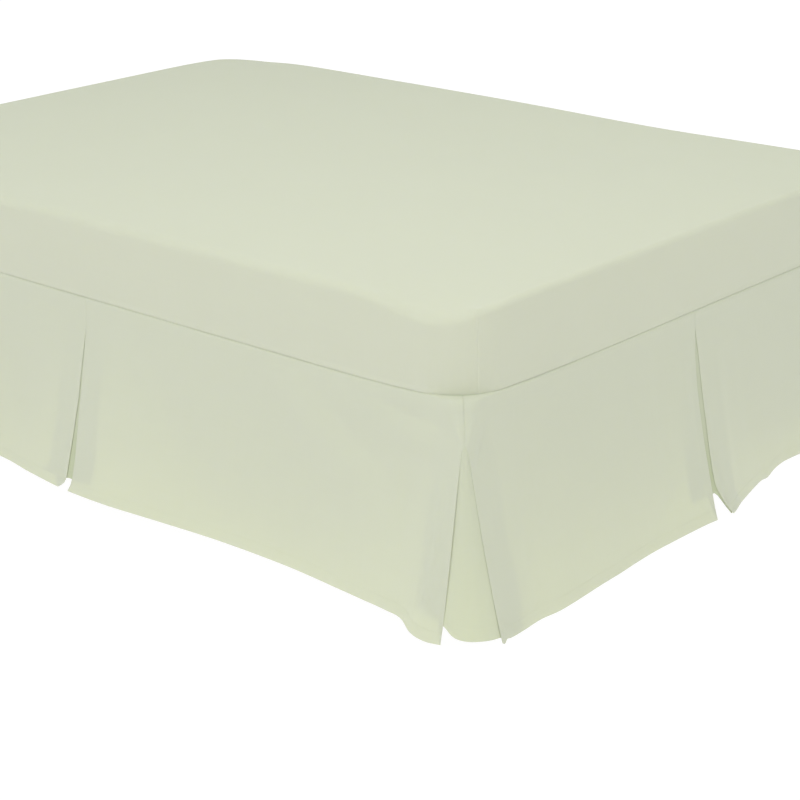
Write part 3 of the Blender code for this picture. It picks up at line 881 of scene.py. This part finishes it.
def pleat_section(side, level):
    """The middle pleat: return, backing and return, with the turns between them."""
    pleat = side.pleat
    low, high = pleat_edges(side, level)
    opened = opening(level, pleat["apex"])
    swing = PLEAT_SWING * opened
    low_raised, high_raised = pleat["raised"]
    depth = 2 * LAYER_SPACING + PLEAT_DEPTH * sin(swing)
    start = low - PLEAT_DEPTH * cos(swing)
    end = high + PLEAT_DEPTH * cos(swing)
    distances = spread(0.0, PLEAT_DEPTH, PLEAT_PARTS)
    points = folded_end(side, low, -1, distances, level, swing, low_raised)[::-1]
    points += half_turn(side, start, -1, level, depth, low_raised)[::-1]
    for share in spread(-1.0, 1.0, BACKING_PARTS):
        bulge = BACKING_BULGE * opened * cos(pi / 2 * share) ** 2
        place = (start + end) / 2 + share * (end - start) / 2
        raised = low_raised + (high_raised - low_raised) * smooth_step(0.5 + share / BACKING_SLANT)
        points.append(cloth_point(side, place, level, depth + bulge, raised))
    points += half_turn(side, end, 1, level, depth, high_raised)
    return points + folded_end(side, high, 1, distances, level, swing, high_raised)


def closed_corner(run, radius, depth):
    """How far behind its own side's line and its neighbour's a closed layer lies."""
    if abs(run) >= radius:
        lines = (depth, abs(run))
    else:
        angle = radians(45) * (1 - abs(run) / radius)
        inner = radius - depth
        lines = (radius - inner * cos(angle), radius - inner * sin(angle))
    return lines if run >= 0 else lines[::-1]


def backing_lines(side, end, level, share):
    """A corner backing's distances behind the two front lines at a place along it."""
    opened = opening(level)
    depth = 2 * LAYER_SPACING * sin(level.turn)
    run = CORNER_BUTT + CORNER_PLACES[-1]
    own, other = closed_corner(share * run, level.radius, depth)
    own_open, other_open, _ = read_table(CORNER_BACKING, share)
    return own + (own_open - own) * opened, other + (other_open - other) * opened


def corner_backing(side, end, level):
    """The backing of a corner pleat, from behind the neighbour round to this side's return."""
    neighbour, own_end = corner_neighbour(side, end)
    swing = CORNER_SWING * opening(level)
    fold = abs(corner_edge(side, end, level)) - CORNER_PLACES[-1] * cos(swing)
    reach = corner_reach(side, end, level, CORNER_BACKING[-1][3])
    stretch = reach - fold - backing_lines(side, end, level, 1.0)[1]
    fall = 2 * LAYER_SPACING * cos(level.turn)
    points = []
    for share in spread(-1.0, 1.0, BACKING_SHARES):
        own, other = backing_lines(side, end, level, share)
        other += stretch * max(0.0, share) ** 2
        raised = read_table(CORNER_BACKING, share)[2]
        out, height = section_point(side, end * side.half, level, raised)
        other_out = section_point(neighbour, own_end * neighbour.half, level, raised)[0]
        blend = smooth_step(abs(share))
        if share > 0:
            place = end * (side.half + other_out - other)
            front = section_point(side, place, level, raised)
            out += (front[0] - out) * blend
        else:
            place = own_end * (neighbour.half + out - own)
            front = section_point(neighbour, place, level, raised)
            other_out += (front[0] - other_out) * blend
        height += (front[1] - height) * blend
        across = side.across + out - own
        along = end * (side.half + other_out - other)
        points.append(lifted_point(side, across, along, level, height - fall))
    return points


def side_end(side, end, level):
    """All that lies behind one end of a front cloth, in order up to its folded edge."""
    edge = corner_edge(side, end, level)
    opened = opening(level)
    if not side.backs:
        swing = FAR_SWING * opened
        return folded_end(side, edge, -end, CORNER_PLACES, level, swing, 0.0)
    swing = CORNER_SWING * opened
    depth = 2 * LAYER_SPACING + CORNER_PLACES[-1] * sin(swing)
    turn = edge - end * CORNER_PLACES[-1] * cos(swing)
    raised = CORNER_BACKING[-1][3]
    points = corner_backing(side, end, level)
    points += half_turn(side, turn, -end, level, depth, raised)
    return points + folded_end(side, edge, -end, CORNER_PLACES, level, swing, raised)


def front_places(inner, edge, parts):
    """Places along a front cloth from its inner end to its folded edge at a corner."""
    end = 1 if edge > 0 else -1
    near = [edge - end * step for step in reversed(CORNER_PLACES)]
    far = near[0] - end * FRONT_STEP
    return spread(inner, far, parts) + near


def skirt_section(side, level):
    """The whole back-and-forth line of one side's cloth at one level."""
    low, high = pleat_edges(side, level) if side.pleat else (0.0, 0.0)
    low_places = front_places(low, corner_edge(side, -1, level), side.parts)[::-1]
    high_places = front_places(high, corner_edge(side, 1, level), side.parts)
    points = side_end(side, -1, level)
    points += [cloth_point(side, place, level, 0.0) for place in low_places]
    if side.pleat:
        points += pleat_section(side, level)
    else:
        high_places = high_places[1:]
    points += [cloth_point(side, place, level, 0.0) for place in high_places]
    return points + side_end(side, 1, level)[::-1]


def painted_shade_marks(side, level, section):
    """How much painted shade darkens the cloth along a section of the skirt."""
    count = len(section)
    if level.share == 0.0:
        return [level.deep * seam_painted_shade(point[0]) for point in section]
    marks = [0.0] * count
    # Painted shade inside the middle pleat, darker towards the hem, and on the corner backings.
    if side.pleat:
        inner = 2 * PLEAT_PARTS + BACKING_PARTS + 2 * TURN_PARTS - 1
        start = (count - inner) // 2
        low = smooth_step((level.share - PLEAT_PAINTED_SHADE_FROM) / PLEAT_PAINTED_SHADE_RUN)
        marks[start:start + inner] = [PLEAT_PAINTED_SHADE + (1 - PLEAT_PAINTED_SHADE) * low] * inner
    if side.backs:
        backing = BACKING_SHARES + TURN_PARTS
        marks[:backing] = marks[-backing:] = [CORNER_PAINTED_SHADE] * backing
    return marks


def run_lengths(points):
    """Distance travelled along a line at each of its points."""
    return list(accumulate(map(dist, points, points[1:]), initial=0.0))


def build_skirt(name, side, levels, material):
    sections = [skirt_section(side, level) for level in levels]
    count = len(sections[0])
    points = [point for section in sections for point in section]
    across = run_lengths(sections[len(sections) // 2])
    down = run_lengths([section[count // 3] for section in sections])
    maps = [(u, -v) for v in down for u in across]
    flip = side.out in ((1, 0), (0, -1))
    faces = row_faces(count, len(sections), False, flip)
    deep = []
    for level, section in zip(levels, sections):
        deep += painted_shade_marks(side, level, section)
    skirt = add_mesh(name, points, faces, material, maps, deep)
    thicken(skirt, SKIRT_THICKNESS, 0)
    return skirt, sections


def build_stitches(name, line, below, material):
    """Short threads through the cloth along a line; below is the same line a little lower."""
    travelled = run_lengths(line)
    points = []
    faces = []
    box = ((0, 1, 3, 2), (4, 6, 7, 5), (0, 4, 5, 1), (2, 3, 7, 6), (0, 2, 6, 4), (1, 5, 7, 3))
    k = 0
    place = STITCH_PITCH
    while place < travelled[-1] - STITCH_PITCH:
        while travelled[k + 1] < place:
            k += 1
        share = (place - travelled[k]) / (travelled[k + 1] - travelled[k])
        start, end = Vector(line[k]), Vector(line[k + 1])
        middle = start.lerp(end, share)
        along = (end - start).normalized()
        down = (Vector(below[k]).lerp(Vector(below[k + 1]), share) - middle).normalized()
        through = along.cross(down).normalized()
        first = len(points)
        for run, side_way, depth in product((-1, 1), repeat=3):
            corner = middle + along * (run * STITCH_LENGTH / 2)
            corner += down * (side_way * STITCH_WIDTH / 2)
            corner += through * (depth * (SKIRT_THICKNESS / 2 + STITCH_PROUD))
            points.append(tuple(corner))
        faces += [tuple(first + corner for corner in face) for face in box]
        place += STITCH_PITCH
    stitches = add_mesh(name, points, faces, material)
    select_only(stitches)
    bpy.ops.object.mode_set(mode="EDIT")
    bpy.ops.mesh.select_all(action="SELECT")
    bpy.ops.mesh.normals_make_consistent(inside=False)
    bpy.ops.object.mode_set(mode="OBJECT")
    return stitches


# Materials


class Socket:
    """A shader value that takes part in Python expressions."""

    def __init__(self, shader, link):
        self.shader = shader
        self.link = link

    def work(self, operation, *values):
        settings = {"operation": operation}
        return self.shader.node("ShaderNodeMath", settings, dict(enumerate(values)), "Value")

    def __add__(self, other):
        return self.work("ADD", self, other)

    def __mul__(self, other):
        return self.work("MULTIPLY", self, other)

    def sine(self):
        return self.work("SINE", self)

    __radd__ = __add__
    __rmul__ = __mul__


class Shader:
    """A material's nodes."""

    def __init__(self, name):
        self.material = bpy.data.materials.new(name)
        self.material.use_nodes = True
        self.tree = self.material.node_tree
        self.surface = self.tree.nodes["Principled BSDF"]

    def node(self, kind, settings, inputs, output):
        node = self.tree.nodes.new(kind)
        for name, value in settings.items():
            setattr(node, name, value)
        self.connect(node, inputs)
        return Socket(self, node.outputs[output])

    def connect(self, node, inputs):
        for name, value in inputs.items():
            if isinstance(value, Socket):
                self.tree.links.new(value.link, node.inputs[name])
            else:
                node.inputs[name].default_value = value

    def coordinates(self, kind):
        return self.node("ShaderNodeTexCoord", {}, {}, kind)

    def parts(self, vector):
        split = self.tree.nodes.new("ShaderNodeSeparateXYZ")
        self.tree.links.new(vector.link, split.inputs[0])
        return [Socket(self, output) for output in split.outputs]

    def scaled(self, vector, scale):
        inputs = {"Vector": vector, "Scale": scale}
        return self.node("ShaderNodeMapping", {}, inputs, "Vector")

    def cloud(self, vector, scale, detail=2.0):
        """Noise from 0 to 1."""
        inputs = {"Vector": vector, "Scale": scale, "Detail": detail, "Roughness": 0.5}
        return self.node("ShaderNodeTexNoise", {}, inputs, "Fac")

    def blend(self, share, low, high):
        """One colour turning into another."""
        inputs = {0: share}
        for place, colour in ((6, low), (7, high)):
            inputs[place] = colour if isinstance(colour, Socket) else (*colour, 1.0)
        return self.node("ShaderNodeMix", {"data_type": "RGBA"}, inputs, 2)

    def relief(self, height, distance, strength):
        inputs = {"Height": height, "Distance": distance, "Strength": strength}
        return self.node("ShaderNodeBump", {}, inputs, "Normal")


def tone(colour, share):
    return tuple(channel * share for channel in colour)


def woven_cloth(name, colour, pitch, coordinates, relief, sheen, deep):
    """Plain weave: threads over and under, slightly uneven in thickness and shade at random, and
    darkened by painted shade where its points carry it.
    """
    shader = Shader(name)
    place = shader.coordinates(coordinates)
    across, along, _ = shader.parts(place)
    turn = 2 * pi / pitch
    weave = (across * turn).sine() * (along * turn).sine()
    warp = shader.cloud(shader.scaled(place, (SLUB_FINE, SLUB_LONG, SLUB_DEEP)), 1.0)
    weft = shader.cloud(shader.scaled(place, (SLUB_LONG, SLUB_FINE, SLUB_DEEP)), 1.0)
    solid_place = shader.coordinates("Object")
    wash = shader.cloud(solid_place, 3.5, 3.0)
    lint = shader.cloud(solid_place, 900.0, 1.0)
    shade = warp * 0.30 + weft * 0.30 + wash * 0.40
    dyed = shader.blend(shade, tone(colour, 1 - SHADE_RANGE), tone(colour, 1 + SHADE_RANGE))
    if deep:
        # Painted shade: the colour turns towards a darker copy by the points' painted-shade
        # attribute.
        kept = shader.node("ShaderNodeAttribute", {"attribute_name": "deep"}, {}, "Fac")
        painted_shade_colour = tuple(channel * share for channel, share in zip(colour, PAINTED_SHADE_SHARES))
        dyed = shader.blend(kept, dyed, painted_shade_colour)
    surface = {
        "Base Color": dyed,
        "Roughness": weave * 0.03 + lint * 0.08 + CLOTH_ROUGHNESS,
        "Subsurface Weight": 0.5,
        "Subsurface Radius": (1.0, 1.0, 0.75),
        "Subsurface Scale": 0.0012,
        "Sheen Weight": sheen,
        "Sheen Roughness": 0.5,
        "Specular IOR Level": 0.25,
        "Normal": shader.relief(weave * 0.5 + warp * 0.5 + weft * 0.5, 0.00006, relief),
    }
    shader.connect(shader.surface, surface)
    return shader.material


def moulded_plastic(name, colour):
    """Feet: fine grain with a little dust."""
    shader = Shader(name)
    place = shader.coordinates("Object")
    grain = shader.cloud(place, 1400.0, 2.0)
    dust = shader.cloud(place, 30.0, 3.0)
    shader.connect(shader.surface, {
        "Base Color": shader.blend(dust, colour, tone(colour, 1.5)),
        "Roughness": dust * 0.15 + FOOT_ROUGHNESS,
        "Normal": shader.relief(grain, 0.0001, 0.3),
    })
    return shader.material


def floor_surface():
    shader = Shader("studio_floor")
    shader.connect(shader.surface, {
        "Base Color": (FLOOR_GREY, FLOOR_GREY, FLOOR_GREY, 1.0),
        "Roughness": 0.9,
        "Emission Color": (*WHITE, 1.0),
        "Emission Strength": FLOOR_GLOW,
    })
    return shader.material


# Studio


def build_camera():
    forward = Vector((
        sin(CAMERA_AZIMUTH) * cos(CAMERA_PITCH),
        cos(CAMERA_AZIMUTH) * cos(CAMERA_PITCH),
        -sin(CAMERA_PITCH),
    ))
    right = forward.cross(Vector((0, 0, 1))).normalized()
    down = forward.cross(right)
    rolled_right = right * cos(CAMERA_ROLL) + down * sin(CAMERA_ROLL)
    rolled_down = down * cos(CAMERA_ROLL) - right * sin(CAMERA_ROLL)
    data = bpy.data.cameras.new("photo_camera")
    data.lens = CAMERA_LENS
    data.sensor_width = 36.0
    camera = new_object("photo_camera", data)
    turn = Matrix((rolled_right, -rolled_down, -forward)).transposed().to_4x4()
    camera.matrix_world = Matrix.Translation(CAMERA_PLACE) @ turn
    bpy.context.scene.camera = camera


def add_softbox(name, place, target, size, power, colour):
    data = bpy.data.lights.new(name, "AREA")
    data.shape = "RECTANGLE"
    data.size = data.size_y = size
    data.energy = power
    data.color = colour
    light = new_object(name, data)
    light.location = place
    aim = Vector(target) - Vector(place)
    light.rotation_euler = aim.to_track_quat("-Z", "Y").to_euler()


def build_studio():
    scene = bpy.context.scene
    world = bpy.data.worlds.new("studio")
    world.use_nodes = True
    background = world.node_tree.nodes["Background"]
    background.inputs["Color"].default_value = (*WORLD_COLOUR, 1.0)
    background.inputs["Strength"].default_value = WORLD_STRENGTH
    scene.world = world
    scene.view_settings.view_transform = "Standard"
    for name, values in SOFTBOXES.items():
        add_softbox(name, *values)
    signs = ((-1, -1), (1, -1), (1, 1), (-1, 1))
    corners = [(x * FLOOR_HALF, y * FLOOR_HALF, 0) for x, y in signs]
    mesh = bpy.data.meshes.new("studio_floor")
    mesh.from_pydata(corners, [], [(0, 1, 2, 3)])
    mesh.materials.append(floor_surface())
    floor = new_object("studio_floor", mesh)


def dress_node(name, material):
    """Give a carried-over solid its surface."""
    item = bpy.data.objects[name]
    item.data.materials.clear()
    item.data.materials.append(material)


def main():
    build_camera()
    cloths = {name: woven_cloth(name, *values) for name, values in CLOTHS.items()}
    plastic = moulded_plastic("foot_plastic", FOOT_BLACK)
    build_studio()

    sheet = build_sheet(cloths["bed_linen"])
    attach(sheet, "root")
    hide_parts("fitted_sheet")

    mattress = build_mattress(cloths["ticking"])
    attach(mattress, "root")
    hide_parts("mattress")

    levels = skirt_levels()
    apex = min(levels, key=lambda level: abs(level.share - CORNER_APEX))
    for side in SIDES.values():
        side.apex = {end: corner_reach(side, end, apex) - CORNER_BUTT for end in (-1, 1)}
    stitch_row = next(k for k, level in enumerate(levels) if level.share > STITCH_SHARE)
    for name, side in SIDES.items():
        cloth = cloths["skirt_linen"]
        skirt, sections = build_skirt(f"skirt_{name}_cloth", side, levels, cloth)
        line, below = sections[stitch_row], sections[stitch_row + 1]
        stitches = build_stitches(f"hem_stitches_{name}", line, below, cloths["hem_thread"])
        for piece in (skirt, stitches):
            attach(piece, "root")
        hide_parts(f"skirt_{name}")

    dress_node("divan_base", cloths["divan_cloth"])
    for number in range(1, FEET + 1):
        dress_node(f"foot_{number}", plastic)


main()
